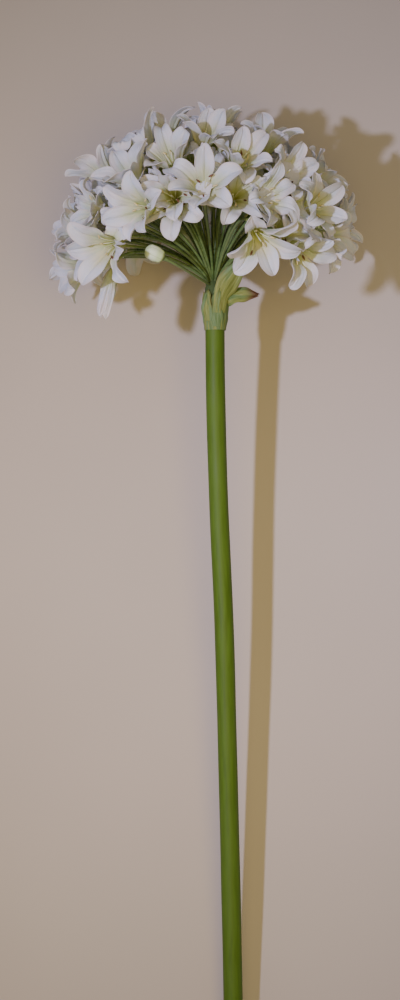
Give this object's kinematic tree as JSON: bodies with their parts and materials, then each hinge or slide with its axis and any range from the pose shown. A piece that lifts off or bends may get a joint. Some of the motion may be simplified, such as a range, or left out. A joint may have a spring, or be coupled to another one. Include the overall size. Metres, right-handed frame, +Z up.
{
  "type": "white flower umbel on a cut stem",
  "caption": "Round head of white six-petalled funnel florets on arching green pedicels, with a papery spathe below them on one long smooth stem, lying down.",
  "frame": {"origin": "middle of the bounding box's bottom face, on the surface that the flower lies on", "axes": "+Y along the flower, from the stem's cut end towards the head; +Z up; the side of the head that the picture shows faces up"},
  "size_m": [0.1959, 0.6813, 0.195],
  "materials": {
    "petal": "matte",
    "bud": "matte",
    "pedicel": "satin",
    "stem": "satin",
    "spathe": "matte"
  },
  "bodies": {
    "root": {"stem": "stem", "pedicels": "pedicel", "spathe": "spathe", "bud": "bud", "floret_01": "petal", "floret_02": "petal", "floret_03": "petal", "floret_04": "petal", "floret_05": "petal", "floret_06": "petal", "floret_07": "petal", "floret_08": "petal", "floret_09": "petal", "floret_10": "petal", "floret_11": "petal", "floret_12": "petal", "floret_13": "petal", "floret_14": "petal", "floret_15": "petal", "floret_16": "petal", "floret_17": "petal", "floret_18": "petal", "floret_19": "petal", "floret_20": "petal", "floret_21": "petal", "floret_22": "petal", "floret_23": "petal", "floret_24": "petal", "floret_25": "petal", "floret_26": "petal", "floret_27": "petal", "floret_28": "petal", "floret_29": "petal", "floret_30": "petal", "floret_31": "petal", "floret_32": "petal", "floret_33": "petal", "floret_34": "petal", "floret_35": "petal", "floret_36": "petal", "floret_37": "petal", "floret_38": "petal", "floret_39": "petal", "floret_40": "petal", "floret_41": "petal", "floret_42": "petal"}
  },
  "joints": []
}
